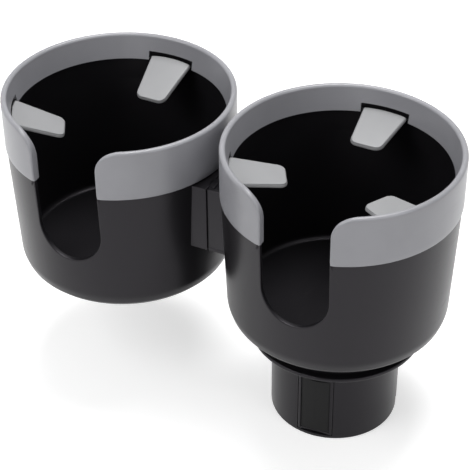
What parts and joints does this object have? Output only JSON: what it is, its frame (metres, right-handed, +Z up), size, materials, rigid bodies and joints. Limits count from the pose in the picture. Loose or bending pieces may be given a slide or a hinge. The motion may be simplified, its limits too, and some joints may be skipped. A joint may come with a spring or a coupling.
{
  "type": "cup holder expander",
  "caption": "Cup holder expander: a round foot with gripping jaws carries a main cup, and a side cup lifts off its bracket.",
  "frame": {"origin": "centre of the foot's standing face, on the axis of the foot and the main cup", "axes": "+Z up along the foot's axis; the side cup stands towards -X; both handle notches face -Y"},
  "size_m": [0.2272, 0.1099, 0.1509],
  "materials": {
    "body_black": "satin black moulding with a fine grain",
    "rim_grey": "satin grey moulding",
    "flap_grey": "satin light grey moulding",
    "pad_rubber": "matt rubber",
    "steel": "plain steel"
  },
  "bodies": {
    "foot": {"foot_housing": "body_black", "guide_plate": "body_black", "guide_plate_screws": "steel"},
    "jaw_1": {"jaw_1": "body_black", "jaw_pad_1": "pad_rubber"},
    "jaw_2": {"jaw_2": "body_black", "jaw_pad_2": "pad_rubber"},
    "jaw_3": {"jaw_3": "body_black", "jaw_pad_3": "pad_rubber"},
    "main_cup": {"main_cup_shell": "body_black", "main_rim": "rim_grey", "scroll_collar": "body_black", "collar_screws": "steel", "pivot_bolt": "steel", "pivot_washer": "steel", "main_hinge_pin_back": "steel", "main_flap_spring_back": "steel", "main_hinge_pin_left": "steel", "main_flap_spring_left": "steel", "main_hinge_pin_right": "steel", "main_flap_spring_right": "steel"},
    "side_cup": {"side_cup_shell": "body_black", "side_rim": "rim_grey", "side_hinge_pin_back": "steel", "side_flap_spring_back": "steel", "side_hinge_pin_left": "steel", "side_flap_spring_left": "steel", "side_hinge_pin_right": "steel", "side_flap_spring_right": "steel"},
    "main_flap_back": {"main_flap_back": "flap_grey"},
    "main_flap_left": {"main_flap_left": "flap_grey"},
    "main_flap_right": {"main_flap_right": "flap_grey"},
    "side_flap_back": {"side_flap_back": "flap_grey"},
    "side_flap_left": {"side_flap_left": "flap_grey"},
    "side_flap_right": {"side_flap_right": "flap_grey"}
  },
  "joints": [
    {"name": "cup_turn", "type": "hinge", "parent": "foot", "child": "main_cup", "pos_m": [0, 0, 0.0587], "axis": [0, 0, 1], "range_deg": [0, 100]},
    {"name": "jaw_1_slide", "type": "slide", "parent": "foot", "child": "jaw_1", "axis": [0.0889, -0.996, 0], "range_m": [0, 0.009]},
    {"name": "jaw_2_slide", "type": "slide", "parent": "foot", "child": "jaw_2", "axis": [0.8181, 0.575, 0], "range_m": [0, 0.009]},
    {"name": "jaw_3_slide", "type": "slide", "parent": "foot", "child": "jaw_3", "axis": [-0.907, 0.421, 0], "range_m": [0, 0.009]},
    {"name": "side_cup_lift", "type": "slide", "parent": "main_cup", "child": "side_cup", "axis": [0, 0, 1], "range_m": [0, 0.036]},
    {"name": "main_flap_back_fold", "type": "hinge", "parent": "main_cup", "child": "main_flap_back", "pos_m": [0.00062, 0.0506, 0.1394], "axis": [0.9999, -0.0122, 0], "range_deg": [0, 67.2], "stiffness_Nm_per_rad": 0.02, "springref_deg": -20.05, "deforming": ["main_flap_spring_back"]},
    {"name": "main_flap_left_fold", "type": "hinge", "parent": "main_cup", "child": "main_flap_left", "pos_m": [-0.04413, -0.02476, 0.1394], "axis": [-0.4894, 0.8721, 0], "range_deg": [0, 67.2], "stiffness_Nm_per_rad": 0.02, "springref_deg": -20.05, "deforming": ["main_flap_spring_left"]},
    {"name": "main_flap_right_fold", "type": "hinge", "parent": "main_cup", "child": "main_flap_right", "pos_m": [0.04351, -0.02583, 0.1394], "axis": [-0.5105, -0.8599, 0], "range_deg": [0, 67.2], "stiffness_Nm_per_rad": 0.02, "springref_deg": -20.05, "deforming": ["main_flap_spring_right"]},
    {"name": "side_flap_back_fold", "type": "hinge", "parent": "side_cup", "child": "side_flap_back", "pos_m": [-0.11463, 0.0506, 0.1394], "axis": [0.9999, -0.0122, 0], "range_deg": [0, 53.5], "stiffness_Nm_per_rad": 0.02, "springref_deg": -20.05, "deforming": ["side_flap_spring_back"]},
    {"name": "side_flap_left_fold", "type": "hinge", "parent": "side_cup", "child": "side_flap_left", "pos_m": [-0.15938, -0.02476, 0.1394], "axis": [-0.4894, 0.8721, 0], "range_deg": [0, 53.5], "stiffness_Nm_per_rad": 0.02, "springref_deg": -20.05, "deforming": ["side_flap_spring_left"]},
    {"name": "side_flap_right_fold", "type": "hinge", "parent": "side_cup", "child": "side_flap_right", "pos_m": [-0.07174, -0.02583, 0.1394], "axis": [-0.5105, -0.8599, 0], "range_deg": [0, 53.5], "stiffness_Nm_per_rad": 0.02, "springref_deg": -20.05, "deforming": ["side_flap_spring_right"]}
  ],
  "couplings": [
    {"joint": "jaw_1_slide", "follows": "cup_turn", "m_per_rad": 0.0051566},
    {"joint": "jaw_2_slide", "follows": "cup_turn", "m_per_rad": 0.0051566},
    {"joint": "jaw_3_slide", "follows": "cup_turn", "m_per_rad": 0.0051566}
  ]
}
